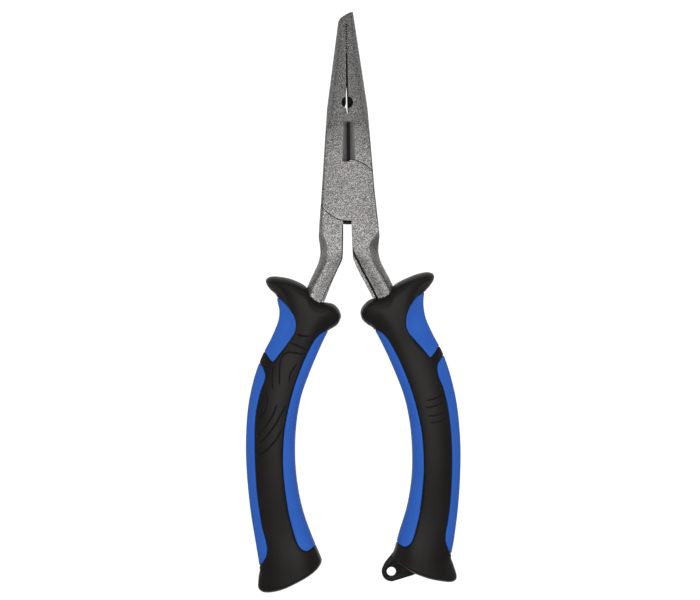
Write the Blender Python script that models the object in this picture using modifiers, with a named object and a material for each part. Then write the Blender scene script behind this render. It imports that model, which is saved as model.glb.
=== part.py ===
"""Long-nose fishing pliers: two crossed steel levers on one flush rivet, each with a grip of its own.

The pliers lie flat on their grips. +Y runs from the grips to the nose, +X to the right seen from above, +Z up.
Shapes are drawn in millimetres round the pivot, which is the joint's axis, and are scaled to metres when made.
The front lever holds the left jaw and the right grip; the back lever holds the right jaw and the left grip.
"""

import math

import bmesh
import bpy
from mathutils import Vector

MM = 0.001

# Driving dimensions, in millimetres.
JAW_REACH = 62.5  # pivot to the tip
GRIP_REACH = 140.4  # pivot to the lowest point of the left butt
JOINT_HALF = 5.0  # half the thickness of the joint
TIP_HALF = 1.9  # half the thickness at the tip
FRONT_DISC = 10.55  # radius of the front lever's lap plate
BACK_DISC = 11.6  # radius of the back lever's lap plate
LAP_GAP = 0.2  # running gap in the lap joint
SEAM_HALF_GAP = 0.15  # half the gap between the closed jaws
RIVET_RADIUS = 3.4
RIVET_HEAD = 4.6
RIVET_GAP = 0.06
PART_GAP = 0.15  # gap between neighbours in a grip
GRIP_HALF = 7.7  # half the thickness of a grip at its fullest
TAB_HALF = 1.5  # half the thickness of the lanyard tab

# Where the pivot stands, so that the object's box is centred over the origin and rests on z = 0.
PIVOT = Vector((0.0, (GRIP_REACH - JAW_REACH) / 2, GRIP_HALF))

# The handle's middle line on the right side, from the joint to the butt. The left side mirrors it.
TANG_PATH = [
    (6.3, -23.0),
    (8.4, -28.2),
    (10.8, -33.5),
    (14.1, -41.3),
    (17.4, -48.3),
    (20.2, -53.8),
    (22.5, -58.8),
    (25.0, -65.0),
    (27.1, -73.5),
    (28.5, -82.0),
    (29.0, -91.0),
    (28.7, -100.0),
    (27.6, -109.0),
    (25.9, -117.0),
    (24.2, -123.0),
]

# The grip's four edges on the right side: outer and inner from top to butt, top and butt from outer to inner.
OUTER_EDGE = [
    (29.6, -30.9),
    (27.9, -34.6),
    (26.2, -37.0),
    (25.4, -41.0),
    (26.1, -46.0),
    (28.8, -52.0),
    (32.0, -58.0),
    (34.6, -66.0),
    (36.6, -76.0),
    (37.5, -88.0),
    (37.3, -99.0),
    (36.3, -111.0),
    (34.7, -122.0),
    (33.8, -129.0),
    (34.4, -133.0),
    (35.3, -135.9),
]
INNER_EDGE = [
    (3.4, -43.2),
    (4.5, -46.2),
    (8.2, -49.3),
    (11.6, -55.5),
    (15.2, -64.0),
    (18.4, -73.1),
    (20.2, -83.0),
    (20.7, -93.0),
    (20.2, -102.0),
    (18.5, -111.2),
    (15.6, -120.1),
    (13.0, -125.6),
    (12.2, -128.4),
]
TOP_EDGE = [
    (29.6, -30.9),
    (27.4, -29.3),
    (24.2, -29.4),
    (19.5, -31.2),
    (15.4, -33.4),
    (13.0, -36.6),
    (10.0, -38.5),
    (6.6, -39.2),
    (4.2, -40.7),
    (3.4, -43.2),
]
BUTT_EDGE = [
    (35.3, -135.9),
    (33.8, -137.6),
    (30.5, -138.0),
    (26.0, -137.2),
    (20.5, -135.5),
    (16.6, -133.0),
    (13.4, -130.6),
    (12.2, -128.4),
]
LEFT_BUTT_DROP = 2.4  # the left grip's butt is this much longer

# Half thickness of the grip along its length, as (share of length, millimetres).
GRIP_THICKNESS = [
    (0.0, 6.6),
    (0.06, 7.6),
    (0.14, 7.4),
    (0.26, 6.7),
    (0.45, 7.5),
    (0.62, 7.4),
    (0.82, 6.6),
    (0.93, 7.6),
    (1.0, 8.0),
]

# The pads' boundaries seen from above. Each closes itself outside the grip's edge.
PALM_PAD = [
    (27.2, -36.0),
    (24.4, -38.2),
    (22.0, -40.7),
    (20.3, -44.2),
    (19.7, -47.4),
    (20.4, -50.2),
    (23.0, -53.4),
    (25.6, -56.4),
    (27.9, -58.4),
    (31.4, -52.2),
]
FINGER_PAD = [
    (33.6, -57.4),
    (30.6, -62.6),
    (31.2, -66.8),
    (32.7, -72.2),
    (33.8, -78.5),
    (34.5, -86.0),
    (34.7, -95.0),
    (34.2, -103.0),
    (33.3, -112.0),
    (32.0, -120.0),
    (31.5, -124.6),
    (32.4, -127.4),
    (35.2, -129.0),
]
INNER_PAD = [
    (8.0, -48.7),
    (10.9, -50.1),
    (13.4, -53.4),
    (16.8, -60.0),
    (20.1, -68.4),
    (22.4, -76.4),
    (23.9, -84.0),
    (24.5, -91.0),
    (24.5, -98.5),
    (23.8, -106.0),
    (22.4, -114.0),
    (20.4, -121.4),
    (19.0, -124.4),
    (16.6, -125.2),
    (14.0, -122.8),
]
PAD_OVERHANG = 6.0  # how far a pad's cutter runs out past the grip's edge

LANYARD_HOLE = (12.6, -134.0)
LANYARD_HOLE_RADIUS = 1.65
LANYARD_TAB_RADIUS = 3.4

RIGHT, LEFT = 1, -1
FAR = 20.0  # a cutter's reach past what it cuts

COLOURS = {
    "coated_steel": ((0.22, 0.21, 0.21, 1), 0.45, 0.8),
    "bright_steel": ((0.45, 0.45, 0.45, 1), 0.35, 1.0),
    "hard_nylon": ((0.015, 0.014, 0.014, 1), 0.5, 0.0),
    "black_rubber": ((0.02, 0.019, 0.019, 1), 0.6, 0.0),
    "blue_rubber": ((0.02, 0.1, 0.5, 1), 0.55, 0.0),
}


# ---- small tools ---------------------------------------------------------------------------------


def clear_scene():
    for obj in list(bpy.data.objects):
        bpy.data.objects.remove(obj)


def collection(name):
    made = bpy.data.collections.new(name)
    bpy.context.scene.collection.children.link(made)
    return made


def material(name):
    made = bpy.data.materials.get(name)
    if made is None:
        colour, roughness, metallic = COLOURS[name]
        made = bpy.data.materials.new(name)
        made.use_nodes = True
        shader = made.node_tree.nodes["Principled BSDF"]
        shader.inputs["Base Color"].default_value = colour
        shader.inputs["Roughness"].default_value = roughness
        shader.inputs["Metallic"].default_value = metallic
        made.diffuse_color = colour
    return made


def piece(name, mesh, group, parent, finish=None):
    """An object in the group, moving with the parent; the mesh is in millimetres round the pivot."""
    for vertex in mesh.vertices:
        vertex.co *= MM
    obj = bpy.data.objects.new(name, mesh)
    group.objects.link(obj)
    obj.parent = parent
    if finish:
        mesh.materials.append(material(finish))
    return obj


def cutter(name, mesh, tools, parent):
    obj = piece(name, mesh, tools, parent)
    obj.hide_render = True
    obj.display_type = "WIRE"
    return obj


def boolean(obj, other, operation="DIFFERENCE"):
    modifier = obj.modifiers.new(f"{operation.lower()}_{other.name}", "BOOLEAN")
    modifier.operation = operation
    modifier.object = other


def smooth(obj, angle=40):
    obj.data.shade_smooth()
    obj.data.set_sharp_from_angle(angle=math.radians(angle))


def facing_out(bm, name):
    """Recalculates the normals and returns the mesh."""
    bmesh.ops.remove_doubles(bm, verts=bm.verts, dist=0.001)
    bmesh.ops.recalc_face_normals(bm, faces=bm.faces)
    mesh = bpy.data.meshes.new(name)
    bm.to_mesh(mesh)
    bm.free()
    return mesh


def loft(name, rings):
    """A closed solid through rings of equally many points, with flat ends."""
    bm = bmesh.new()
    rows = [[bm.verts.new(point) for point in ring] for ring in rings]
    count = len(rings[0])
    for low, high in zip(rows, rows[1:]):
        for i in range(count):
            j = (i + 1) % count
            bm.faces.new((low[i], low[j], high[j], high[i]))
    bm.faces.new(rows[0])
    bm.faces.new(reversed(rows[-1]))
    return facing_out(bm, name)


def slab(name, outline, low, high):
    """A flat outline given thickness, as a filled 2D curve turned into a mesh."""
    curve = bpy.data.curves.new(name, "CURVE")
    curve.dimensions = "2D"
    curve.fill_mode = "BOTH"
    curve.extrude = (high - low) / 2
    spline = curve.splines.new("POLY")
    spline.points.add(len(outline) - 1)
    for point, (x, y) in zip(spline.points, outline):
        point.co = (x, y, 0, 1)
    spline.use_cyclic_u = True
    holder = bpy.data.objects.new(name, curve)
    bpy.context.scene.collection.objects.link(holder)
    graph = bpy.context.evaluated_depsgraph_get()
    mesh = bpy.data.meshes.new_from_object(holder.evaluated_get(graph))
    bpy.data.objects.remove(holder)
    bm = bmesh.new()
    bm.from_mesh(mesh)
    bpy.data.meshes.remove(mesh)
    bmesh.ops.translate(bm, verts=bm.verts, vec=(0, 0, (low + high) / 2))
    return facing_out(bm, name)


def drum(name, radius, low, high, centre=(0, 0), segments=72):
    bm = bmesh.new()
    bmesh.ops.create_cone(
        bm,
        cap_ends=True,
        segments=segments,
        radius1=radius,
        radius2=radius,
        depth=high - low,
    )
    bmesh.ops.translate(bm, verts=bm.verts, vec=(*centre, (low + high) / 2))
    return facing_out(bm, name)


def between(table, x):
    """The table's value at x, on straight runs between its rows."""
    for (x0, y0), (x1, y1) in zip(table, table[1:]):
        if x <= x1:
            return y0 + (y1 - y0) * max(0.0, x - x0) / (x1 - x0)
    return table[-1][1]


def curve_through(points, count):
    """Count points evenly along a smooth curve through the given ones."""
    dense = []
    ends = [points[0], *points, points[-1]]
    for p0, p1, p2, p3 in zip(ends, ends[1:], ends[2:], ends[3:]):
        a, b, c, d = (Vector(p) for p in (p0, p1, p2, p3))
        for k in range(12):
            t = k / 12
            dense.append(
                0.5
                * (
                    2 * b
                    + (c - a) * t
                    + (2 * a - 5 * b + 4 * c - d) * t**2
                    + (3 * b - a - 3 * c + d) * t**3
                )
            )
    dense.append(Vector(points[-1]))
    lengths = [0.0]
    for p, q in zip(dense, dense[1:]):
        lengths.append(lengths[-1] + (q - p).length)
    even, k = [], 0
    for i in range(count):
        want = lengths[-1] * i / (count - 1)
        while k < len(dense) - 2 and lengths[k + 1] < want:
            k += 1
        run = lengths[k + 1] - lengths[k]
        even.append(dense[k].lerp(dense[k + 1], (want - lengths[k]) / run))
    return even


def arc(centre, radius, start, stop, count):
    """Count points of an arc, in degrees."""
    turn = [start + (stop - start) * i / (count - 1) for i in range(count)]
    return [
        (
            centre[0] + radius * math.cos(math.radians(a)),
            centre[1] + radius * math.sin(math.radians(a)),
        )
        for a in turn
    ]


# ---- steel levers --------------------------------------------------------------------------------


def half_width(y):
    """Half the width of the closed head at this distance from the pivot."""
    return between([(-16.2, 10.75), (0.0, 9.25), (29.0, 7.1), (59.5, 2.85), (63, 2.36)], y)


def half_thickness(y):
    return between([(16.0, JOINT_HALF), (22.0, 4.7), (JAW_REACH, TIP_HALF)], y)


def jaw_ring(side, y):
    """One jaw's cross-section: flat front and back, flat mating face, chamfered outer corners."""
    width, half = half_width(y), half_thickness(y)
    wide = between([(17.0, 0.3), (23.0, 0.8), (29.0, 1.6), (50.0, 1.5), (60.0, 1.0)], y)
    deep = between([(17.0, 0.3), (23.0, 1.2), (29.0, 2.2), (50.0, 1.6), (60.0, 0.9)], y)
    corners = [
        (SEAM_HALF_GAP, half),
        (width - wide, half),
        (width, half - deep),
        (width, deep - half),
        (width - wide, -half),
        (SEAM_HALF_GAP, -half),
    ]
    return [(side * x, y, z) for x, z in corners]


def jaw_mesh(name, side):
    stations = [0.0, 8.0, 14.0, 17.0, 20.0, 23.0, 26.0, 29.0, 36.0, 43.0, 50.0, 56.0, 60.0, 63.0]
    return loft(name, [jaw_ring(side, y) for y in stations])


def tang_section(inner, outer, half, ledge, ledge_half, crown):
    """A tang's cross-section as (across, up): a low ledge along the inner side and a crowned top."""
    top = [
        (inner, ledge_half),
        (inner + ledge, ledge_half + 0.1 * ledge),
        (inner + 1.5 * ledge, half - 0.5 * crown),
        (inner + 1.5 * ledge + 0.6 * crown, half),
        (outer - 1.3 * crown, half),
        (outer - 0.45 * crown, half - 0.45 * crown),
        (outer, half - 1.25 * crown),
    ]
    return top + [(across, -up) for across, up in reversed(top)]


def tang_rings(side, inner_edge, half_wide, spare=0.0):
    """The rings of a tang from the joint to its end inside the grip, grown by spare for a cutter."""
    rings = []
    for y, crown in ((0.0, 0.3), (-8.0, 0.3), (-14.0, 0.4)):
        section = tang_section(inner_edge, half_width(y), JOINT_HALF, 0.2, 4.6, crown)
        rings.append([(side * across, y, up) for across, up in section])
    section = tang_section(inner_edge, 10.3, 4.7, 0.5, 3.0, 2.0)
    rings.append([(side * across, -19.0, up) for across, up in section])
    path = curve_through(TANG_PATH, 34)[:28]
    for k, centre in enumerate(path):
        along = path[min(k + 1, len(path) - 1)] - path[max(k - 1, 0)]
        across_way = Vector((-along.y, along.x)).normalized()
        share = k / (len(path) - 1)
        half = (4.0 - 1.3 * share) + spare
        wide = (half_wide - (half_wide - 2.6) * share) + spare
        section = tang_section(-wide, wide, half, 0.9 - 0.6 * share, 1.5 + spare, 1.5 - 0.4 * share)
        ring = [centre + across_way * across for across, _ in section]
        rings.append([(side * p.x, p.y, up) for p, (_, up) in zip(ring, section)])
    return rings


def lap_plate(name, radius, low, high):
    """A disc trimmed by the head's straight sides."""
    outline = []
    for x, y in arc((0, 0), radius, 0, 356, 90):
        limit = half_width(y) - 0.04
        outline.append((max(-limit, min(limit, x)), y))
    return slab(name, outline, low, high)


def rivet_profile(gap):
    """Half the rivet's outline as (radius, height), running down its outer side."""
    end = JOINT_HALF - 0.05 + (FAR if gap else 0)
    shank, head = RIVET_RADIUS + gap, RIVET_HEAD + gap
    lip, neck = JOINT_HALF - 0.7, JOINT_HALF - 1.7
    upper = [(0, end), (head, end), (head, lip), (shank, neck)]
    return upper + [(radius, -z) for radius, z in reversed(upper)]


def rivet_object(name, gap, group, parent, finish=None):
    mesh = bpy.data.meshes.new(name)
    points = [(radius, 0, height) for radius, height in rivet_profile(gap)]
    mesh.from_pydata(points, [(i, i + 1) for i in range(len(points) - 1)], [])
    obj = piece(name, mesh, group, parent, finish)
    turn = obj.modifiers.new("turned", "SCREW")
    turn.steps = turn.render_steps = 48
    turn.use_merge_vertices = True
    turn.merge_threshold = 0.00001
    turn.use_smooth_shade = False
    return obj


def window_cutter(name, side, front):
    """The wedge that bares one jaw's cutting edge, on the front or the back face."""
    rings = []
    for y, lip in ((24.1, 1.4), (BACK_DISC + 0.3 if front < 0 else 10.85, 2.1)):
        if side == RIGHT:
            lip = between([(10.0, 2.5), (24.0, 2.25)], y)
            edge = [(lip, 5.4), (lip, 5.0), (0.85, 1.1), (0.8, 0.4), (-0.4, 0.4), (-0.4, 5.4)]
        else:
            edge = [(lip, 5.4), (lip, 5.0), (0.2, 0.8), (0.15, 0.4), (-0.4, 0.4), (-0.4, 5.4)]
        rings.append([(side * x, y, front * z) for x, z in edge])
    return loft(name, rings)


def head_cutters(tools, parent, side):
    """What is cut from a jaw: relief gap, crimping pocket, its eye, and the cutter's window on both faces."""
    relief = [(-0.36, 27.2), (0.36, 27.2), (0.36, 34.8), (0.1, 35.8), (-0.1, 35.8), (-0.36, 34.8)]
    tag = "right" if side == RIGHT else "left"
    pocket = (0.1, 30.9)
    return [
        cutter(f"relief_{tag}", slab("relief", relief, -FAR, FAR), tools, parent),
        cutter(f"crimp_{tag}", drum("crimp", 2.05, 0.9, FAR, pocket, 40), tools, parent),
        cutter(f"eye_{tag}", drum("eye", 0.9, -FAR, FAR, (-0.6, 29.7), 24), tools, parent),
        cutter(f"window_{tag}", window_cutter("window", side, 1), tools, parent),
        cutter(f"back_window_{tag}", window_cutter("window", side, -1), tools, parent),
    ]


def tip_outline(side):
    """What the slanted tip takes off a jaw. The back lever keeps a tooth that hooks over the front lever's end."""
    slant = [(-4.5, 57.0), (-3.35, 58.6), (-2.7, 60.0), (-1.95, 60.9)]
    slant += [(-1.0, 61.55), (0.2, 62.2), (2.0, 62.5)]
    if side == RIGHT:
        return [*slant, (FAR, 62.6), (FAR, 80), (-FAR, 80), (-FAR, 57.0)]
    return [(-FAR, 57.0), *slant[:4], (-1.2, 61.3), (-0.1, 59.4), (FAR, 59.4), (FAR, 80), (-FAR, 80)]


def tooth_mesh(name):
    outline = [(1.2, 58.0), (0.15, 58.4), (0.15, 59.7), (-0.95, 61.45), (-1.5, 63.0), (1.2, 63.0)]
    return slab(name, outline, -TIP_HALF + 0.15, TIP_HALF - 0.15)


def lever(name, parts, tools, parent, jaw_side, tang_inner, tang_half_wide):
    """Jaw, lap plate and tang joined into one forging. The jaw is on one side and the tang on the other."""
    front = jaw_side == LEFT
    own_disc, other_disc = (FRONT_DISC, BACK_DISC) if front else (BACK_DISC, FRONT_DISC)
    up = 1 if front else -1
    lap = sorted((up * LAP_GAP / 2, -up * FAR))
    plate = sorted((up * LAP_GAP / 2, up * JOINT_HALF))
    body = piece(name, jaw_mesh(name, jaw_side), parts, parent, "coated_steel")
    rings = tang_rings(-jaw_side, tang_inner, tang_half_wide)
    tang = cutter(f"{name}_tang", loft("tang", rings), tools, parent)
    boolean(body, tang, "UNION")
    if jaw_side == RIGHT:
        boolean(body, cutter("tooth", tooth_mesh("tooth"), tools, parent), "UNION")
    boolean(body, cutter(f"{name}_lap", drum("lap", other_disc + LAP_GAP, *lap), tools, parent))
    boolean(body, cutter(f"{name}_plate", lap_plate("plate", own_disc, *plate), tools, parent), "UNION")
    for tool in head_cutters(tools, parent, jaw_side):
        boolean(body, tool)
    tip = slab("tip", tip_outline(jaw_side), -FAR, FAR)
    boolean(body, cutter(f"{name}_tip", tip, tools, parent))
    boolean(body, rivet_object(f"{name}_rivet_hole", RIVET_GAP, tools, parent))
    bpy.data.objects[f"{name}_rivet_hole"].hide_render = True
    bpy.data.objects[f"{name}_rivet_hole"].display_type = "WIRE"
    smooth(body)
    return body


# ---- grips ---------------------------------------------------------------------------------------


def grip_edges(side, along, across):
    """The four edges of a grip seen from above, with matching numbers of points."""
    drop = LEFT_BUTT_DROP if side == LEFT else 0.0
    outer = [*OUTER_EDGE[:-2], *((x, y - drop) for x, y in OUTER_EDGE[-2:])]
    inner = [*INNER_EDGE[:-1], (INNER_EDGE[-1][0], INNER_EDGE[-1][1] - 0.6 * drop)]
    butt = [outer[-1], *((x, y - drop) for x, y in BUTT_EDGE[1:-1]), inner[-1]]
    return (
        curve_through(outer, along),
        curve_through(inner, along),
        curve_through(TOP_EDGE, across),
        curve_through(butt, across),
    )


def grip_half(share, across):
    """Half the grip's thickness at a place given as shares of its length and width."""
    full = between(GRIP_THICKNESS, share) * (1 - abs(2 * across - 1) ** 2.4) ** (1 / 2.4)
    near_end = min(1.0, share / 0.045, (1 - share) / 0.05)
    return full * math.sqrt(1 - (1 - near_end) ** 2)


def grip_envelope(name, side, along=38, across=11):
    """The grip's whole outer shape: a patch between its four edges, given thickness, front and back."""
    outer, inner, top, butt = grip_edges(side, along, across)
    bm = bmesh.new()
    front, back = [], []
    for i in range(along):
        s = i / (along - 1)
        s -= 0.35 * math.sin(2 * math.pi * s) / (2 * math.pi)
        at = s * (along - 1)
        k = min(int(at), along - 2)
        outer_point, inner_point = outer[k].lerp(outer[k + 1], at - k), inner[k].lerp(inner[k + 1], at - k)
        front_row, back_row = [], []
        for j in range(across):
            u = (1 - math.cos(math.pi * j / (across - 1))) / 2
            at_u = u * (across - 1)
            m = min(int(at_u), across - 2)
            top_point, butt_point = top[m].lerp(top[m + 1], at_u - m), butt[m].lerp(butt[m + 1], at_u - m)
            corners = (1 - s) * ((1 - u) * outer[0] + u * inner[0]) + s * ((1 - u) * outer[-1] + u * inner[-1])
            place = (1 - u) * outer_point + u * inner_point + (1 - s) * top_point + s * butt_point - corners
            half = 0.0 if i in (0, along - 1) or j in (0, across - 1) else grip_half(s, u)
            vertex = bm.verts.new((side * place.x, place.y, half))
            front_row.append(vertex)
            back_row.append(vertex if half == 0 else bm.verts.new((side * place.x, place.y, -half)))
        front.append(front_row)
        back.append(back_row)
    for rows, flip in ((front, False), (back, True)):
        for i in range(along - 1):
            for j in range(across - 1):
                corners = [rows[i][j], rows[i + 1][j], rows[i + 1][j + 1], rows[i][j + 1]]
                bm.faces.new(reversed(corners) if flip else corners)
    return facing_out(bm, name)


def core_rings(side, spare=0.0):
    """The hard sleeve round the tang: rounded sections along the handle's middle line."""
    path = curve_through(TANG_PATH, 34)[8:]
    rings = []
    for k, centre in enumerate(path):
        along = path[min(k + 1, len(path) - 1)] - path[max(k - 1, 0)]
        away = Vector((-along.y, along.x)).normalized()
        share = k / (len(path) - 1)
        wide, half = 5.6 - 0.7 * share + spare, 5.1 - 0.5 * share + spare
        ring = []
        for a in range(16):
            turn = 2 * math.pi * (a + 0.5) / 16
            across, up = math.cos(turn), math.sin(turn)
            p = centre + away * (wide * math.copysign(abs(across) ** 0.8, across))
            ring.append((side * p.x, p.y, half * math.copysign(abs(up) ** 0.8, up)))
        rings.append(ring)
    if spare:
        step = Vector(rings[0][0]) - Vector(rings[1][0])
        rings[0] = [tuple(Vector(p) + step.normalized() * spare) for p in rings[0]]
        step = Vector(rings[-1][0]) - Vector(rings[-2][0])
        rings[-1] = [tuple(Vector(p) + step.normalized() * spare) for p in rings[-1]]
    return rings


def tab_outline(spare=0.0):
    """The lanyard tab: a round eye on a wedge that runs back into the core."""
    radius = LANYARD_TAB_RADIUS + spare
    eye = arc(LANYARD_HOLE, radius, 165, 290, 14)
    right = [(20.5 + spare, -135.0 - spare), (25.0 + spare, -127.0)]
    left = [(23.0, -119.5 + spare), (14.6 - spare, -124.3 + spare)]
    return [*eye, *right, *left]


def pad_outline(points, side, spare=0.0):
    """A pad's boundary from above, closed outside the grip, grown by spare."""
    curve = curve_through(points, 3 * len(points))
    first, last = curve[0], curve[-1]
    middle = sum(curve, Vector((0, 0))) / len(curve)
    outward = RIGHT if first.x > middle.x or points is not INNER_PAD else LEFT
    outline = []
    for k, p in enumerate(curve):
        along = curve[min(k + 1, len(curve) - 1)] - curve[max(k - 1, 0)]
        away = Vector((along.y, -along.x)).normalized()
        outline.append(p + away * outward * spare)
    shift = Vector((outward * PAD_OVERHANG, 0))
    outline += [last + shift, middle + 2 * shift, first + shift]
    return [(side * p.x, p.y) for p in outline]


def grip(label, side, parts, tools, parent, tang_inner, tang_half_wide):
    """Core, body and three pads of one grip, all cut from the same outer shape."""
    hole_rings = tang_rings(side, tang_inner, tang_half_wide, PART_GAP)
    tang = cutter(f"{label}_tang_hole", loft("hole", hole_rings), tools, parent)
    core_space = cutter(f"{label}_core_space", loft("space", core_rings(side, PART_GAP)), tools, parent)
    hollows = [core_space, tang]
    core = piece(f"{label}_grip_core", loft("core", core_rings(side)), parts, parent, "hard_nylon")
    if side == RIGHT:
        tab = cutter("tab", slab("tab", tab_outline(), -TAB_HALF, TAB_HALF), tools, parent)
        boolean(core, tab, "UNION")
        hole = drum("hole", LANYARD_HOLE_RADIUS, -FAR, FAR, LANYARD_HOLE, 28)
        boolean(core, cutter("lanyard_hole", hole, tools, parent))
        space = slab("tab_space", tab_outline(PART_GAP), -TAB_HALF - PART_GAP, TAB_HALF + PART_GAP)
        hollows.append(cutter("tab_space", space, tools, parent))
    boolean(core, tang)
    body = piece(f"{label}_grip_body", grip_envelope("body", side), parts, parent, "black_rubber")
    for hollow in hollows:
        boolean(body, hollow)
    for pad_name, points in (("palm_pad", PALM_PAD), ("finger_pad", FINGER_PAD), ("inner_pad", INNER_PAD)):
        name = f"{label}_{pad_name}"
        pad = piece(name, grip_envelope(name, side), parts, parent, "blue_rubber")
        own_shape = slab(name, pad_outline(points, side), -FAR, FAR)
        own = cutter(f"{name}_outline", own_shape, tools, parent)
        pocket_shape = slab(name, pad_outline(points, side, PART_GAP), -FAR, FAR)
        pocket = cutter(f"{name}_pocket", pocket_shape, tools, parent)
        boolean(pad, own, "INTERSECT")
        for hollow in hollows:
            boolean(pad, hollow)
        boolean(body, pocket)
        smooth(pad)
    smooth(core)
    smooth(body)


# ---- the whole -----------------------------------------------------------------------------------


def half_of_pliers(name):
    """The empty on the joint's axis that one half turns about."""
    empty = bpy.data.objects.new(name, None)
    empty.location = PIVOT * MM
    bpy.context.scene.collection.objects.link(empty)
    return empty


def build():
    clear_scene()
    parts = collection("fishing_pliers")
    tools = collection("cutters")
    front, back = half_of_pliers("front_half"), half_of_pliers("back_half")
    front_tang, back_tang = (1.0, 4.35), (2.3, 3.75)
    lever("front_lever", parts, tools, front, LEFT, *front_tang)
    lever("back_lever", parts, tools, back, RIGHT, *back_tang)
    rivet = rivet_object("pivot_rivet", 0, parts, front, "bright_steel")
    smooth(rivet)
    grip("right", RIGHT, parts, tools, front, *front_tang)
    grip("left", LEFT, parts, tools, back, *back_tang)


build()
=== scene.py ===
"""How the long-nose fishing pliers look: speckled steel levers, rubber grips with blue pads, and a studio.

Shapes are drawn in millimetres round the pivot, as the CAD model's are, and placed in metres at the end.
The levers and the grips are finer versions of the CAD nodes that they stand for.
"""

import math

import bmesh
import bpy
import numpy as np
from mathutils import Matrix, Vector


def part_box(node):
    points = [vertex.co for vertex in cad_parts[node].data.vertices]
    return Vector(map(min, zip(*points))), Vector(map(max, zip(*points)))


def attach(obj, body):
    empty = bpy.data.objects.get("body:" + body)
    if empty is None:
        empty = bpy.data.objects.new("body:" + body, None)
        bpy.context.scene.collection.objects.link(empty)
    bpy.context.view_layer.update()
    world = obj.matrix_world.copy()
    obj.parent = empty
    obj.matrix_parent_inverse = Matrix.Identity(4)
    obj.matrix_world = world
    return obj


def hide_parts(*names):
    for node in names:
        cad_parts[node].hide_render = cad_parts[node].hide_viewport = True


MM = 0.001
WELD_DISTANCE = 2e-7
RIGHT, LEFT = 1, -1

# Past every edge of what is being cut.
FAR = 20.0

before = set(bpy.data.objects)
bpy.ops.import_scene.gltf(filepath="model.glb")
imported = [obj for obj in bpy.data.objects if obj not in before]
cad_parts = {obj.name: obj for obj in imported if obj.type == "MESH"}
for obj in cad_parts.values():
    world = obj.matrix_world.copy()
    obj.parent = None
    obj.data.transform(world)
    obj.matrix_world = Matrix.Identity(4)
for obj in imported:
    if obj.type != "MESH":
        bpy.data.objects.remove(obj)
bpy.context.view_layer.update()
scene = bpy.context.scene

# The pivot in millimetres: the rivet's centre.
low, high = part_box("pivot_rivet")
PIVOT = (low + high) / 2 / MM

# Each grip's outline, as if on the right side, in four runs that share their ends.
RIGHT_TOP = [
    (29.7, -30.8),
    (29.45, -29.9),
    (28.6, -29.3),
    (26.6, -29.05),
    (23.1, -29.8),
    (19.5, -31.2),
    (16.8, -32.5),
    (15.1, -33.8),
    (14.1, -35.4),
    (12.6, -36.6),
    (10.6, -37.4),
    (8.7, -37.75),
    (6.5, -38.5),
    (4.8, -40.0),
    (3.7, -41.7),
    (3.45, -43.2),
]
LEFT_TOP = [
    (29.65, -31.2),
    (29.35, -30.4),
    (28.5, -29.8),
    (27.2, -29.5),
    (25.2, -29.6),
    (21.8, -30.2),
    (18.8, -31.3),
    (16.1, -32.8),
    (14.8, -34.2),
    (13.8, -36.2),
    (11.5, -38.2),
    (9.7, -38.9),
    (7.9, -39.1),
    (6.0, -39.6),
    (4.4, -41.1),
    (3.45, -43.0),
    (3.3, -44.2),
]
RIGHT_OUTER = [
    (29.7, -30.8),
    (29.3, -32.1),
    (28.1, -33.9),
    (26.2, -36.2),
    (25.6, -39.5),
    (25.7, -42.9),
    (26.5, -46.6),
    (28.9, -52.0),
    (32.0, -58.0),
    (34.6, -66.0),
    (36.6, -76.0),
    (37.5, -88.0),
    (37.3, -99.0),
    (36.3, -111.0),
    (34.7, -122.0),
    (33.5, -128.3),
    (34.3, -131.4),
    (35.3, -134.6),
    (35.55, -136.0),
]
LEFT_OUTER = [
    (29.65, -31.2),
    (29.15, -32.6),
    (28.0, -34.2),
    (26.0, -36.2),
    (25.5, -38.8),
    (24.9, -42.3),
    (25.5, -46.2),
    (28.1, -52.0),
    (31.4, -58.0),
    (34.4, -66.0),
    (36.6, -76.0),
    (37.5, -88.0),
    (37.3, -99.0),
    (36.3, -111.0),
    (34.7, -122.0),
    (33.5, -130.8),
    (34.0, -134.3),
    (34.35, -137.6),
]
RIGHT_INNER = [
    (3.45, -43.2),
    (4.1, -45.3),
    (5.9, -47.1),
    (8.2, -48.9),
    (11.6, -55.5),
    (15.2, -64.0),
    (18.4, -73.1),
    (20.2, -83.0),
    (20.7, -93.0),
    (20.2, -102.0),
    (18.5, -111.2),
    (15.6, -120.1),
    (13.8, -126.2),
    (12.4, -128.9),
]
LEFT_INNER = [
    (3.3, -44.2),
    (4.5, -46.7),
    (6.4, -48.1),
    (8.1, -49.4),
    (11.2, -55.5),
    (15.0, -64.0),
    (18.3, -73.1),
    (20.1, -83.0),
    (20.6, -93.0),
    (20.0, -102.0),
    (18.3, -111.2),
    (15.4, -120.1),
    (12.5, -127.3),
    (11.75, -129.4),
]
RIGHT_BUTT = [
    (35.55, -136.0),
    (35.4, -137.0),
    (34.5, -137.75),
    (33.0, -138.0),
    (30.4, -137.65),
    (26.4, -136.8),
    (22.9, -135.6),
    (19.9, -134.3),
    (16.6, -132.3),
    (13.6, -130.2),
    (12.4, -128.9),
]
LEFT_BUTT = [
    (34.35, -137.6),
    (34.2, -138.9),
    (33.3, -139.9),
    (31.7, -140.4),
    (29.05, -140.25),
    (25.5, -139.4),
    (21.5, -137.7),
    (17.1, -135.4),
    (13.95, -133.2),
    (12.15, -131.0),
    (11.75, -129.4),
]
OUTLINES = {
    RIGHT: (RIGHT_TOP, RIGHT_OUTER, RIGHT_INNER, RIGHT_BUTT),
    LEFT: (LEFT_TOP, LEFT_OUTER, LEFT_INNER, LEFT_BUTT),
}

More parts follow.
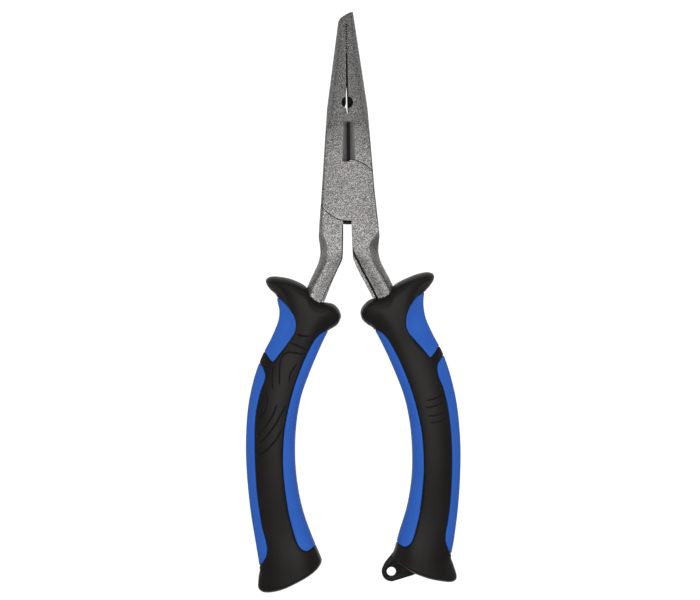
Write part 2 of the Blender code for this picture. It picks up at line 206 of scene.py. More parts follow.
# Half the grip's thickness along its length, by share of the length.
GRIP_THICKNESS = [
    (0.0, 6.6),
    (0.06, 7.5),
    (0.14, 7.4),
    (0.26, 6.7),
    (0.45, 7.4),
    (0.62, 7.3),
    (0.82, 6.6),
    (0.93, 7.4),
    (1.0, 7.7),
]

# The edges of the blue pads on the front. Each pad runs on round the grip's side to the back.
RIGHT_PALM = [
    (27.4, -35.6),
    (25.4, -36.6),
    (23.6, -37.7),
    (21.9, -39.8),
    (20.4, -42.4),
    (19.6, -45.4),
    (19.6, -48.0),
    (20.5, -50.3),
    (22.6, -52.9),
    (25.1, -56.0),
    (27.3, -58.8),
    (27.8, -58.9),
    (29.2, -57.4),
    (31.6, -54.0),
]
LEFT_PALM = [
    (27.6, -35.8),
    (25.6, -37.1),
    (24.1, -38.2),
    (22.4, -40.0),
    (20.75, -42.3),
    (19.6, -44.7),
    (19.3, -46.8),
    (19.7, -48.9),
    (21.0, -51.2),
    (23.7, -55.0),
    (26.4, -58.4),
    (27.4, -59.4),
    (27.9, -59.3),
    (28.8, -58.3),
    (31.2, -54.8),
]
RIGHT_FINGER = [
    (33.4, -57.0),
    (32.2, -58.4),
    (30.4, -60.8),
    (29.9, -62.8),
    (30.4, -65.8),
    (31.9, -69.6),
    (33.2, -75.1),
    (34.0, -80.8),
    (34.5, -88.0),
    (34.5, -97.0),
    (33.9, -107.0),
    (32.9, -115.0),
    (31.8, -120.4),
    (31.8, -123.4),
    (32.8, -126.2),
    (34.4, -128.8),
]
LEFT_FINGER = [
    (33.2, -58.9),
    (31.9, -60.1),
    (30.85, -61.8),
    (30.2, -64.0),
    (30.6, -66.2),
    (31.9, -69.4),
    (33.0, -73.4),
    (33.9, -78.0),
    (34.3, -84.0),
    (34.4, -91.0),
    (34.2, -99.0),
    (33.7, -107.0),
    (32.4, -116.6),
    (31.0, -122.2),
    (30.7, -125.6),
    (31.7, -128.4),
    (33.8, -130.9),
]
INNER_PAD = [
    (5.6, -49.4),
    (8.3, -49.2),
    (10.9, -50.4),
    (13.4, -53.4),
    (16.8, -60.0),
    (20.1, -68.4),
    (22.4, -76.4),
    (23.9, -84.0),
    (24.5, -91.0),
    (24.5, -98.5),
    (23.8, -106.0),
    (22.8, -113.0),
]
RIGHT_INNER_PAD = [
    *INNER_PAD,
    (21.6, -118.0),
    (20.6, -121.4),
    (19.5, -123.5),
    (17.9, -124.7),
    (16.2, -124.6),
    (13.0, -122.4),
]
LEFT_INNER_PAD = [
    *INNER_PAD,
    (21.5, -118.5),
    (20.4, -122.2),
    (19.3, -124.3),
    (17.7, -125.5),
    (16.1, -125.5),
    (12.8, -123.4),
]

# Each pad's edge, and the side of it on which the pad leaves the grip: 1 outside, -1 inside.
PADS = {
    RIGHT: {
        "palm_pad": (RIGHT_PALM, 1),
        "finger_pad": (RIGHT_FINGER, 1),
        "inner_pad": (RIGHT_INNER_PAD, -1),
    },
    LEFT: {
        "palm_pad": (LEFT_PALM, 1),
        "finger_pad": (LEFT_FINGER, 1),
        "inner_pad": (LEFT_INNER_PAD, -1),
    },
}

# The horn's ridge, from the outer tip down beside the palm pad. The surface falls away outside it.
RIDGE = [
    (30.5, -31.4),
    (27.0, -32.3),
    (24.3, -34.1),
    (22.4, -37.0),
    (20.9, -40.6),
    (19.4, -44.5),
    (19.2, -48.0),
    (21.0, -52.0),
    (24.0, -56.5),
    (29.0, -62.0),
    (36.0, -66.0),
]

# Shallow lines pressed into the black panels, as flowing contours on the left and short ribs on the right,
# with their depths.
LEFT_LINES = [
    [(18.9, -50.0), (16.6, -50.6), (14.4, -50.7)],
    [(21.2, -52.9), (17.9, -54.3), (15.8, -55.5)],
    [
        (16.3, -57.2),
        (19.7, -56.4),
        (22.4, -56.2),
        (24.2, -57.6),
        (25.0, -60.2),
        (25.2, -63.6),
        (25.3, -67.0),
    ],
    [(27.5, -60.8), (27.8, -64.6), (27.8, -68.6)],
    [(19.2, -60.6), (21.2, -63.2), (21.8, -66.4)],
    [(30.3, -69.2), (29.7, -72.9), (30.7, -76.6), (33.0, -79.4)],
    [(26.4, -74.5), (27.7, -77.8), (30.3, -81.7), (33.4, -85.2)],
    [(23.2, -75.0), (24.9, -77.9), (26.9, -81.2), (29.7, -84.8), (33.0, -88.0)],
    [(24.8, -83.2), (26.6, -86.3), (29.8, -89.7), (33.4, -92.2)],
]
RIGHT_LINES = [
    [(26.2, -73.8), (29.2, -73.1), (32.2, -71.7)],
    [(25.6, -76.4), (29.1, -75.7), (32.8, -74.1)],
    [(26.4, -79.3), (29.6, -79.0), (32.8, -77.9)],
    [(27.0, -81.6), (29.9, -81.4), (33.4, -80.1)],
]

PRESSED = {RIGHT: (RIGHT_LINES, 0.3), LEFT: (LEFT_LINES, 0.45)}

# The middle line of the hard core inside a grip, and half the core's width and height.
CORE_PATH = [
    (14.3, -41.6),
    (17.4, -48.3),
    (22.5, -58.8),
    (27.1, -73.5),
    (29.0, -91.0),
    (27.6, -109.0),
    (24.2, -123.0),
]

CORE_HALF_WIDTH, CORE_HALF_HEIGHT = 5.3, 4.8

# The lanyard tab: its edge as (height, how far the outline moves in), and its hole as (height, radius).
LANYARD_HOLE = (12.6, -134.0)
LANYARD_TAB_RADIUS = 3.4
TAB_EDGE = [(1.1, 0.0), (1.37, 0.16), (1.5, 0.45)]
TAB_BORE = [(0.8, 1.62), (1.2, 1.7), (1.7, 2.15)]


# ---- curves and distances ---------------------------------------------------


def dense_curve(points, steps=12):
    """Points closely spaced on a smooth curve through the given ones."""
    p = np.asarray(points, float)
    padded = np.vstack([p[:1], p, p[-1:]])
    t = np.arange(steps)[:, None] / steps
    rows = []
    for a, b, c, d in zip(padded, padded[1:], padded[2:], padded[3:]):
        second, third = 2 * a - 5 * b + 4 * c - d, 3 * b - a - 3 * c + d
        rows.append(0.5 * (2 * b + (c - a) * t + second * t**2 + third * t**3))
    return np.vstack([*rows, p[-1:]])


def along_curve(points, share):
    """Places at shares 0 to 1 of the length of a smooth curve through the points."""
    dense = dense_curve(points)
    length = np.concatenate([[0], np.cumsum(np.linalg.norm(np.diff(dense, axis=0), axis=1))])
    want = np.asarray(share) * length[-1]
    return np.stack([np.interp(want, length, dense[:, 0]), np.interp(want, length, dense[:, 1])], -1)


def beside_line(points, line):
    """Each point's distance to an open run of segments, negative on its right."""
    best = np.full(len(points), np.inf)
    signed = best.copy()
    for start, step in zip(line[:-1], np.diff(line, axis=0)):
        away = points - start
        t = np.clip(away @ step / (step @ step), 0, 1)
        distance = np.linalg.norm(away - t[:, None] * step, axis=1)
        side = np.where(step[0] * away[:, 1] > step[1] * away[:, 0], 1, -1)
        signed = np.where(distance < best, side * distance, signed)
        best = np.minimum(best, distance)
    return signed


def distance_to_line(points, line):
    return np.abs(beside_line(points, line))


def inside(points, outline):
    """Which points lie inside a closed outline."""
    found = np.zeros(len(points), bool)
    for (x0, y0), (x1, y1) in zip(outline, np.roll(outline, -1, 0)):
        crosses = (y0 > points[:, 1]) != (y1 > points[:, 1])
        if y1 != y0:
            found ^= crosses & (points[:, 0] < x0 + (x1 - x0) * (points[:, 1] - y0) / (y1 - y0))
    return found


def depth_inside(points, edge, outward):
    """Signed distance to a pad's edge, positive inside. The pad closes itself outside the grip."""
    line = dense_curve(edge, 6)
    reach = np.array([outward * PAD_REACH, 0.0])
    outline = np.vstack([line, line[-1] + reach, line.mean(0) + 2 * reach, line[0] + reach])
    return np.where(inside(points, outline), 1, -1) * distance_to_line(points, line)


def blend_step(x):
    """Rises smoothly from 0 to 1 as x does."""
    x = np.clip(x, 0, 1)
    return x * x * (3 - 2 * x)


# ---- meshes -----------------------------------------------------------------


def make_object(name, points, faces, materials):
    """An object in metres from points in millimetres round the pivot."""
    mesh = bpy.data.meshes.new(name)
    placed = (np.asarray(points, float) + np.array(PIVOT)) * MM
    mesh.from_pydata(placed.tolist(), [], faces)
    obj = bpy.data.objects.new(name, mesh)
    scene.collection.objects.link(obj)
    for material in materials:
        mesh.materials.append(material)
    return obj


def smooth_below(obj, degrees):
    """Shades the object smooth, except at edges sharper than an angle."""
    obj.data.shade_smooth()
    obj.data.set_sharp_from_angle(angle=math.radians(degrees))


def weld(obj):
    """Joins points that coincide and turns the normals out."""
    bm = bmesh.new()
    bm.from_mesh(obj.data)
    bmesh.ops.remove_doubles(bm, verts=bm.verts, dist=WELD_DISTANCE)
    bmesh.ops.recalc_face_normals(bm, faces=bm.faces)
    bm.to_mesh(obj.data)
    bm.free()
    return obj


def loft(name, rings, materials):
    """A closed solid through rings of equally many points, with flat ends."""
    count = len(rings[0])
    points = np.vstack(rings)
    faces = []
    for start in range(0, len(points) - count, count):
        for i in range(count):
            j = (i + 1) % count
            faces.append((start + i, start + j, start + count + j, start + count + i))
    faces.append(tuple(range(count)))
    faces.append(tuple(reversed(range(len(points) - count, len(points)))))
    return weld(make_object(name, points, faces, materials))


def at_height(outline, z):
    return np.column_stack([outline, np.full(len(outline), z)])


def slab(name, outline, bottom, top, materials):
    """An outline's solid between two heights."""
    return loft(name, [at_height(outline, z) for z in (bottom, top)], materials)


def turned(name, centre, profile, materials, segments=64):
    """A round solid upright at its centre, through a profile of heights and radii."""
    turn = np.arange(segments) / segments * 2 * math.pi
    rings = []
    for z, radius in profile:
        circle = np.column_stack([centre[0] + radius * np.cos(turn), centre[1] + radius * np.sin(turn)])
        rings.append(at_height(circle, z))
    return loft(name, rings, materials)


def both_ways(profile):
    """A profile from the middle up, after its mirror image below."""
    return [(-z, size) for z, size in reversed(profile)] + profile


def boolean(obj, tool, operation="DIFFERENCE"):
    """Cuts or joins the tool into the object at once, and removes the tool."""
    modifier = obj.modifiers.new("boolean", "BOOLEAN")
    modifier.operation = operation
    modifier.object = tool
    modifier.material_mode = "TRANSFER"
    bpy.context.view_layer.update()
    graph = bpy.context.evaluated_depsgraph_get()
    mesh = bpy.data.meshes.new_from_object(obj.evaluated_get(graph))
    obj.modifiers.clear()
    old = obj.data
    obj.data = mesh
    bpy.data.meshes.remove(old)
    bpy.data.objects.remove(tool)
    return obj


def rounded_ring(corners, radius, parts=2):
    """Replaces each corner of a ring by a short curve."""
    corners = np.asarray(corners, float)
    ring = []
    for before, corner, after in zip(np.roll(corners, 1, 0), corners, np.roll(corners, -1, 0)):
        to_before, to_after = before - corner, after - corner
        room_before, room_after = np.linalg.norm(to_before), np.linalg.norm(to_after)
        start = corner + to_before / room_before * min(radius, 0.42 * room_before)
        end = corner + to_after / room_after * min(radius, 0.42 * room_after)
        for t in np.linspace(0, 1, parts + 1):
            ring.append((1 - t) ** 2 * start + 2 * t * (1 - t) * corner + t**2 * end)
    return np.array(ring)


# ---- materials --------------------------------------------------------------


class Paint:
    """A node material being put together. Texture sizes are in millimetres."""

    def __init__(self, name, colour, roughness, metallic=0.0, specular=0.5):
        self.material = bpy.data.materials.new(name)
        self.material.use_nodes = True
        self.nodes = self.material.node_tree.nodes
        self.links = self.material.node_tree.links
        self.shader = self.nodes["Principled BSDF"]
        self.shader.inputs["Base Color"].default_value = (*colour, 1)
        self.shader.inputs["Roughness"].default_value = roughness
        self.shader.inputs["Metallic"].default_value = metallic
        self.shader.inputs["Specular IOR Level"].default_value = specular
        self.place = self.nodes.new("ShaderNodeTexCoord").outputs["Object"]

    def stretched(self, x, y, z):
        mapping = self.nodes.new("ShaderNodeMapping")
        mapping.inputs["Scale"].default_value = (x, y, z)
        self.links.new(self.place, mapping.inputs["Vector"])
        return mapping.outputs["Vector"]

    def noise(self, size, detail=2.0, roughness=0.5, place=None):
        node = self.nodes.new("ShaderNodeTexNoise")
        node.inputs["Scale"].default_value = 1000 / size
        node.inputs["Detail"].default_value = detail
        node.inputs["Roughness"].default_value = roughness
        self.links.new(place or self.place, node.inputs["Vector"])
        return node.outputs["Fac"]

    def cells(self, size):
        node = self.nodes.new("ShaderNodeTexVoronoi")
        node.inputs["Scale"].default_value = 1000 / size
        self.links.new(self.place, node.inputs["Vector"])
        return node.outputs["Color"]

    def ramp(self, value, stops):
        node = self.nodes.new("ShaderNodeValToRGB")
        elements = node.color_ramp.elements
        while len(elements) < len(stops):
            elements.new(0.5)
        for element, (position, colour) in zip(elements, stops):
            element.position = position
            element.color = (*colour, 1)
        self.links.new(value, node.inputs["Fac"])
        return node.outputs["Color"]

    def mix(self, share, first, second):
        node = self.nodes.new("ShaderNodeMix")
        node.data_type = "RGBA"
        node.inputs["Factor"].default_value = share
        self.links.new(first, node.inputs["A"])
        self.links.new(second, node.inputs["B"])
        return node.outputs["Result"]

    def colour(self, value):
        self.links.new(value, self.shader.inputs["Base Color"])

    def rough(self, value, least, most):
        node = self.nodes.new("ShaderNodeMapRange")
        node.inputs["To Min"].default_value = least
        node.inputs["To Max"].default_value = most
        self.links.new(value, node.inputs["Value"])
        self.links.new(node.outputs["Result"], self.shader.inputs["Roughness"])

    def bump(self, height, strength, depth):
        node = self.nodes.new("ShaderNodeBump")
        node.inputs["Strength"].default_value = strength
        node.inputs["Distance"].default_value = depth * MM
        self.links.new(height, node.inputs["Height"])
        self.links.new(node.outputs["Normal"], self.shader.inputs["Normal"])


def coated_steel():
    """Blasted steel under a grey satin coat: fine light and dark flecks over a mid grey."""
    paint = Paint("coated_steel", (0.2, 0.195, 0.19), 0.42, metallic=0.55, specular=0.4)
    grain = paint.noise(0.305, detail=2.0, roughness=0.7)
    dark, middle, light = (0.022, 0.0213, 0.0208), (0.096, 0.093, 0.091), (0.31, 0.3, 0.293)
    flecks = paint.ramp(grain, [(0.36, dark), (0.5, middle), (0.64, light)])
    paint.colour(paint.mix(0.025, flecks, paint.cells(0.38)))
    paint.rough(grain, 0.52, 0.38)
    paint.bump(grain, 0.3, 0.04)
    return paint.material


def ground_steel():
    """The cutter's bevels and the jaws' mating faces: bare ground steel with fine upright lines."""
    paint = Paint("ground_steel", (0.3, 0.3, 0.3), 0.45, metallic=0.3)
    lines = paint.noise(0.22, detail=3.0, place=paint.stretched(1.0, 1.0, 0.08))
    paint.colour(paint.ramp(lines, [(0.3, (0.2, 0.2, 0.2)), (0.7, (0.55, 0.545, 0.54))]))
    paint.rough(lines, 0.35, 0.5)
    paint.bump(lines, 0.25, 0.03)
    return paint.material


def painted_shade_steel():
    """Painted shade: near-black steel on the slots, seam grooves, eye, lap joint and walls between the
    tangs, where shade falls.
    """
    paint = Paint("painted_shade_steel", (0.006, 0.006, 0.006), 0.6, specular=0.1)
    grain = paint.noise(0.4, detail=2.0)
    paint.colour(paint.ramp(grain, [(0.35, (0.003, 0.003, 0.003)), (0.65, (0.009, 0.009, 0.0085))]))
    paint.rough(grain, 0.5, 0.65)
    paint.bump(grain, 0.2, 0.04)
    return paint.material


def black_rubber():
    paint = Paint("black_rubber", (0.0125, 0.0112, 0.0106), 0.42, specular=0.07)
    cloud = paint.noise(14.0, detail=3.0)
    grain = paint.noise(0.3, detail=2.0)
    paint.colour(paint.ramp(cloud, [(0.3, (0.0105, 0.0094, 0.0089)), (0.7, (0.0145, 0.013, 0.0123))]))
    paint.rough(cloud, 0.39, 0.45)
    paint.bump(grain, 0.12, 0.03)
    return paint.material


def blue_rubber():
    paint = Paint("blue_rubber", (0.027, 0.116, 0.495), 0.55, specular=0.12)
    cloud = paint.noise(12.0, detail=3.0)
    grain = paint.noise(0.28, detail=2.0)
    paint.colour(paint.ramp(cloud, [(0.3, (0.026, 0.112, 0.48)), (0.7, (0.0298, 0.127, 0.527))]))
    paint.rough(cloud, 0.5, 0.62)
    paint.bump(grain, 0.12, 0.03)
    return paint.material


def hard_nylon():
    paint = Paint("hard_nylon", (0.009, 0.0085, 0.0085), 0.45, specular=0.12)
    grain = paint.noise(0.5, detail=2.0)
    paint.colour(paint.ramp(grain, [(0.3, (0.0075, 0.007, 0.007)), (0.7, (0.0105, 0.01, 0.01))]))
    paint.rough(grain, 0.4, 0.5)
    paint.bump(grain, 0.1, 0.03)
    return paint.material


def pale_floor():
    """A floor that glows a little, so that it stays white round the tool's shadow."""
    paint = Paint("pale_floor", (0.35, 0.35, 0.35), 0.9, specular=0.0)
    paint.shader.inputs["Emission Color"].default_value = (1, 1, 1, 1)
    paint.shader.inputs["Emission Strength"].default_value = 0.92
    return paint.material


# PAINTED_SHADE is near-black steel that paints the shade in recesses, seams and between the tangs.
STEEL, GROUND, PAINTED_SHADE = coated_steel(), ground_steel(), painted_shade_steel()
RUBBER, BLUE, NYLON = black_rubber(), blue_rubber(), hard_nylon()


# ---- levers -----------------------------------------------------------------

# The lap joint's discs, half the head's thickness at the joint and the tip, and the levers' gaps.
FRONT_DISC, BACK_DISC = 10.55, 11.6
JOINT_HALF, TIP_HALF = 5.0, 1.9
LAP_GAP, SEAM = 0.26, 0.0
HEAD_END = -12.0

# Where each lever's cheek starts beside the gap between the tangs, how high it is, and its outer bevel.
FRONT_CHEEK_START, BACK_CHEEK_START = 0.97, 2.02
CHEEK_HEIGHT = JOINT_HALF - 0.03
END_BEVEL = {RIGHT: 0.3, LEFT: 0.85}

# How far the closed head leans towards +X for each millimetre above the pivot.
HEAD_LEAN = 0.008

# Half the thickness of the land on which the jaws meet, and the teeth beside it.
LAND = 0.9
TEETH, TEETH_START = 12, 48.6
TOOTH_PITCH, TOOTH_DEPTH = 0.86, 0.34

# The window that bares the cutting edges, and how far its slot reaches into each jaw.
WINDOW_LOW, WINDOW_HIGH = 10.0, 24.1
SLOT_REACH = {RIGHT: 0.8, LEFT: 0.3}
SLOT_LOW, SLOT_HIGH = 0.35, 1.4

# The crimping eye: a drilled pocket, and a slit at its middle.
EYE = (0.05, 30.8)
EYE_PROFILE = [(-0.7, 0.1), (0.0, 2.05), (FAR, 2.05)]
EYE_SLIT = [(-1.05, 29.35), (-0.1, 29.35), (-0.1, 31.4), (-0.5, 30.9)]

# The edges of the two tangs, as if on the right side.
TANG_OUTER = [
    (10.05, -9.0),
    (10.42, -13.0),
    (10.7, -16.0),
    (10.35, -19.0),
    (10.25, -21.8),
    (11.0, -25.0),
    (12.5, -28.2),
    (14.6, -32.5),
    (17.5, -39.8),
    (23.3, -52.3),
    (30.0, -72.9),
    (31.6, -91.0),
    (30.5, -106.5),
]
FRONT_INNER = [
    (0.95, -9.0),
    (0.95, -13.0),
    (1.05, -19.0),
    (1.2, -22.9),
    (1.5, -24.4),
    (3.1, -28.3),
    (5.4, -32.7),
    (8.0, -37.9),
    (10.9, -43.6),
    (17.1, -55.5),
    (24.2, -74.3),
    (26.2, -91.0),
    (25.3, -105.5),
]
BACK_INNER = [
    (2.0, -9.0),
    (2.0, -13.0),
    (2.15, -19.0),
    (2.35, -22.9),
    (2.75, -24.6),
    (4.6, -28.3),
    (6.5, -32.4),
    (8.8, -37.9),
    (11.5, -43.6),
    (17.3, -55.5),
    (24.2, -74.3),
    (26.2, -91.0),
    (25.3, -105.5),
]

# Where the flat cheek ends on its outer side, above the scoop that narrows it to the tang.
SCOOP_DEPTH, SCOOP_RUN = 3.3, 1.1
FRONT_CHEEK = [
    (12.5, -11.6),
    (10.6, -14.1),
    (8.8, -16.4),
    (7.3, -18.6),
    (7.0, -20.5),
    (8.4, -25.0),
    (12.0, -32.0),
]
BACK_CHEEK = [
    (12.5, -11.0),
    (9.6, -13.6),
    (8.6, -16.2),
    (8.0, -18.2),
    (7.7, -20.5),
    (8.8, -25.0),
    (12.0, -32.0),
]

# A tang's inner side has a low flange, and a wall up to its shoulder. Each row gives a place along Y, the
# flange's width and the wall's width.
FLANGE_LOW, FLANGE_HIGH = 1.6, 1.7
FRONT_SHOULDER, BACK_SHOULDER = 3.5, 3.7
FRONT_FLANGE = [
    (-40.0, 1.0, 0.75),
    (-30.0, 1.15, 0.85),
    (-24.5, 1.0, 0.8),
    (-22.5, 0.35, 0.7),
    (-20.0, 0.05, 0.05),
]
BACK_FLANGE = [
    (-40.0, 1.1, 0.3),
    (-36.0, 0.75, 0.3),
    (-32.5, 0.45, 0.3),
    (-29.5, 0.12, 0.3),
    (-27.0, 0.05, 0.4),
    (-9.0, 0.05, 0.42),
]


def half_width(y):
    """Half the closed head's width."""
    return np.interp(y, [-16.2, 0.0, 29.0, 59.5, 64.0], [10.75, 9.25, 7.1, 2.85, 2.2])


def head_rings():
    """Sections of the closed head: flat faces, and side chamfers that fade to a thin bevel at the joint."""
    rings = []
    nose = [*np.arange(16.0, 31.0, 1.0), *np.arange(31.0, 65.0, 1.5)]
    for y in [HEAD_END, *np.arange(-9.0, 16.0, 3.0), *nose]:
        width = half_width(y)
        half = np.interp(y, [15.0, 22.0, 62.5], [JOINT_HALF, 4.75, TIP_HALF])
        corners = []
        left_bevel = np.interp(y, [-12, 0, 12], [END_BEVEL[LEFT], 0.6, 0.35])
        for side, joint_bevel in ((RIGHT, END_BEVEL[RIGHT]), (LEFT, left_bevel)):
            fade = blend_step((y - 19.0) / 9.0)
            wide = joint_bevel + (np.interp(y, [29.0, 50.0, 62.0], [1.75, 1.5, 0.9]) - joint_bevel) * fade
            joint_deep = 0.9 * joint_bevel
            deep = joint_deep + (np.interp(y, [29.0, 50.0, 62.0], [2.3, 1.7, 0.8]) - joint_deep) * fade
            turn = [(width - wide, half), (width, half - deep), (width, deep - half), (width - wide, -half)]
            corners += turn if side == RIGHT else [(-x, z) for x, z in reversed(turn)]
        ring = rounded_ring(corners, 0.25)
        rings.append(np.column_stack([ring[:, 0], np.full(len(ring), y), ring[:, 1]]))
    return rings


def jaw_outline(side):
    """The jaw from above: the mating edge with its teeth, the slanted tip with its hook, the outside."""
    edge = side * SEAM
    if side == RIGHT:
        relief = [(0.12, 27.6), (0.0, 29.2), (-0.1, 35.2)]
    else:
        relief = [(-0.2, 27.6), (-0.42, 29.2), (-0.42, 34.6)]
    line = [(edge, -2.0), (edge, 26.6), *relief, (edge, 37.0), (edge, 48.4)]
    for tooth in range(TEETH):
        y = TEETH_START + TOOTH_PITCH * tooth
        line += [(edge, y), (edge + 0.5 * TOOTH_DEPTH, y + 0.45 * TOOTH_PITCH)]
    if side == RIGHT:
        hook = [(0.05, 59.1), (-0.2, 59.5), (-1.3, 61.1)]
        tip = [(-0.7, 61.5), (0.4, 62.1), (1.3, 62.5), (1.9, 62.75)]
        return [*line, *hook, *tip, (FAR, 62.75), (FAR, -2.0)]
    hook = [(-0.05, 59.1), (-0.32, 59.45), (-1.42, 61.05)]
    tip = [(-1.9, 60.7), (-2.4, 60.2), (-2.8, 59.5), (-3.1, 58.6)]
    return [*line, *hook, *tip, (-FAR, 57.5), (-FAR, -2.0)]


def groove_outline(side):
    """The open part of the seam, above and below the land: the teeth's valleys, the line and the relief."""
    wall = 0.42 if side == RIGHT else 0.45
    line = [(wall, 27.4), (wall, 35.4), (0.3, 38.4), (0.26, 48.2)]
    for tooth in range(TEETH):
        y = TEETH_START + TOOTH_PITCH * tooth
        line += [(-0.1, y), (TOOTH_DEPTH, y + 0.12 * TOOTH_PITCH), (TOOTH_DEPTH, y + 0.48 * TOOTH_PITCH)]
        line += [(-0.1, y + 0.6 * TOOTH_PITCH)]
    return [(side * x, y) for x, y in [(-1.5, 27.4), *line, (-1.5, 59.0)]]


def crown_height(y, share_over, shoulder):
    """The tang's rounded top: up from the inner shoulder to a crest, and down again outside."""
    crest = np.interp(y, [-45.0, -30.0, -20.0], [3.7, 4.3, 4.8])
    peak = np.interp(y, [-34.0, -22.0], [0.66, 0.5])
    low = np.interp(y, [-34.0, -25.0], [shoulder, 4.15])
    rise = low + (crest - low) * np.sin(0.5 * math.pi * np.clip(share_over / peak, 0, 1)) ** 1.1
    over = np.clip((share_over - peak) / (1 - peak), 0, 1)
    return np.where(share_over < peak, rise, crest * (1 - over**2.1) ** (1 / 1.7))


def cheek_height(places, cheek_end, scooped):
    """The flat cheek, and the scoop that sinks away beyond its end."""
    beyond = np.where(inside(places, scooped), distance_to_line(places, cheek_end), 0)
    return CHEEK_HEIGHT - SCOOP_DEPTH * (1 - np.exp(-beyond / SCOOP_RUN))


def tang_rings(side, inner_edge, cheek_edge, flange_table, shoulder):
    """Sections from the cheek down the tang: flange and wall along the inner side, and a crowned top."""
    share = np.concatenate([np.linspace(0, 0.32, 120), np.linspace(0.335, 1, 24)])
    outer, inner = along_curve(TANG_OUTER, share), along_curve(inner_edge, share)
    stations, flanges, walls = np.array(flange_table).T
    cheek_end = dense_curve(cheek_edge, 8)
    scooped = np.vstack([cheek_end, [(30.0, -32.0), (30.0, -11.0)]])
    bevel = END_BEVEL[side]
    rings = []
    for out, back in zip(outer, inner):
        width = np.linalg.norm(out - back)
        way = (out - back) / width
        flange, wall = np.interp(back[1], stations, flanges), np.interp(back[1], stations, walls)
        start, bevel_start = flange + wall, width - bevel
        probe = np.linspace(start, bevel_start, 200)
        crease = probe[~inside(back + way * probe[:, None], scooped)].max(initial=start + 0.5)
        crease = min(crease, bevel_start - 0.1)
        to_crease, past_crease = np.linspace(start, crease, 14), np.linspace(crease, bevel_start, 10)[1:]
        over_top = np.concatenate([to_crease, past_crease, [width - 0.4 * bevel, width - 0.02]])
        across = np.concatenate([[0.02, flange, flange + 0.5 * wall], over_top])
        place = back + way * across[:, None]

        crown = crown_height(out[1], np.clip((over_top - start) / (width - start), 0, 1), shoulder)
        cheek = cheek_height(place[3:], cheek_end, scooped)
        cheek -= np.clip((over_top - bevel_start) / bevel, 0, 1) * 0.9 * bevel
        flat = blend_step((0.5 * (back[1] + out[1]) + 27.0) / 7.5)
        top = np.maximum(flat * cheek + (1 - flat) * crown, 0.3)
        up = np.concatenate([[FLANGE_LOW, FLANGE_HIGH, 0.5 * (FLANGE_HIGH + top[0])], top])
        both = np.vstack([np.column_stack([place, up]), np.column_stack([place[::-1], -up[::-1]])])
        rings.append(both * [side, 1, 1])
    return rings


def window_rings(side, face):
    """The wedge that bares the cutting edges: one bevel down to a narrow slot."""
    rings = []
    for y in (WINDOW_HIGH, WINDOW_LOW):
        lip = np.interp(y, [10.0, 24.0], [2.7, 2.2] if side == RIGHT else [1.95, 1.45])
        edge = [(lip, 5.6), (lip, 4.95), (SLOT_REACH[side], 1.0), (-0.6, 1.0), (-0.6, 5.6)]
        rings.append(np.array([(side * x, y, face * z) for x, z in edge]))
    return rings


def slot_outline(side):
    reach = SLOT_REACH[side]
    corners = ((-0.6, WINDOW_HIGH), (reach, WINDOW_HIGH), (reach, WINDOW_LOW), (-0.6, WINDOW_LOW))
    return [(side * x, y) for x, y in corners]


def heights(face, low, high):
    """Two heights on one face of the tool, the lower first."""
    return sorted((face * low, face * high))


# Its faces, left in a lever by the lap cut, paint the shade of the lap joint's seam near black.
def disc(name, radius, bottom, top):
    return turned(name, (0, 0), [(bottom, radius), (top, radius)], [PAINTED_SHADE], segments=96)


def lever_key(jaw_side, own_disc, cheek_start, face):
    """What one forging keeps of the whole head: its jaw, its disc, and the cheek that leads to its tang."""
    key = slab("key", jaw_outline(jaw_side), -FAR, FAR, [GROUND])
    bottom = HEAD_END - 1
    cheek = [(cheek_start, 2.0), (FAR, 2.0), (FAR, bottom), (cheek_start, bottom)]
    boolean(key, slab("cheek", [(-jaw_side * x, y) for x, y in cheek], -FAR, FAR, [GROUND]), "UNION")
    return boolean(key, disc("plate", own_disc, *heights(face, 0.5 * LAP_GAP, JOINT_HALF + 1)), "UNION")


def fine_lever(name, jaw_side, tang):
    """One forging: half of the head, cut from the head's whole shape by outlines, joined to its tang."""
    front = jaw_side == LEFT
    own_disc, other_disc = (FRONT_DISC, BACK_DISC) if front else (BACK_DISC, FRONT_DISC)
    up = 1 if front else -1
    cheek_start = FRONT_CHEEK_START if front else BACK_CHEEK_START
    key = lever_key(jaw_side, own_disc, cheek_start, up)
    head = loft(name, head_rings(), [STEEL, GROUND, PAINTED_SHADE])
    boolean(head, key, "INTERSECT")
    boolean(head, loft("tang", tang, [STEEL]), "UNION")
    boolean(head, disc("lap", other_disc + LAP_GAP, *heights(up, 0.5 * LAP_GAP, -FAR)))
    # The slot, the seam's grooves and the eye take painted shade: near-black steel where shade falls in
    # them.
    for face in (1, -1):
        boolean(head, loft("bevel", window_rings(jaw_side, face), [GROUND]))
        boolean(head, slab("slot", slot_outline(jaw_side), *heights(face, SLOT_LOW, SLOT_HIGH), [PAINTED_SHADE]))
        boolean(head, slab("groove", groove_outline(jaw_side), *heights(face, LAND, FAR), [PAINTED_SHADE]))
    boolean(head, turned("pocket", EYE, EYE_PROFILE, [PAINTED_SHADE]))
    boolean(head, slab("eye", EYE_SLIT, -FAR, FAR, [PAINTED_SHADE]))
    paint_shade_on_inner_walls(head, jaw_side)
    lean_head(head)
    smooth_below(head, 32)
    return head


def paint_shade_on_inner_walls(obj, side):
    """Painted shade: the steep faces that the two tangs turn to each other get the near-black steel, for
    the shade between them.
    """
    slots = obj.data.materials[:]
    dark, steel = slots.index(PAINTED_SHADE), slots.index(STEEL)
    for face in obj.data.polygons:
        place = face.center / MM - PIVOT
        between = place.y < -9.5 and abs(place.z) < CHEEK_HEIGHT
        steep = face.normal.x * side > 0.55 and abs(face.normal.z) < 0.75
        if between and steep and face.material_index == steel:
            face.material_index = dark


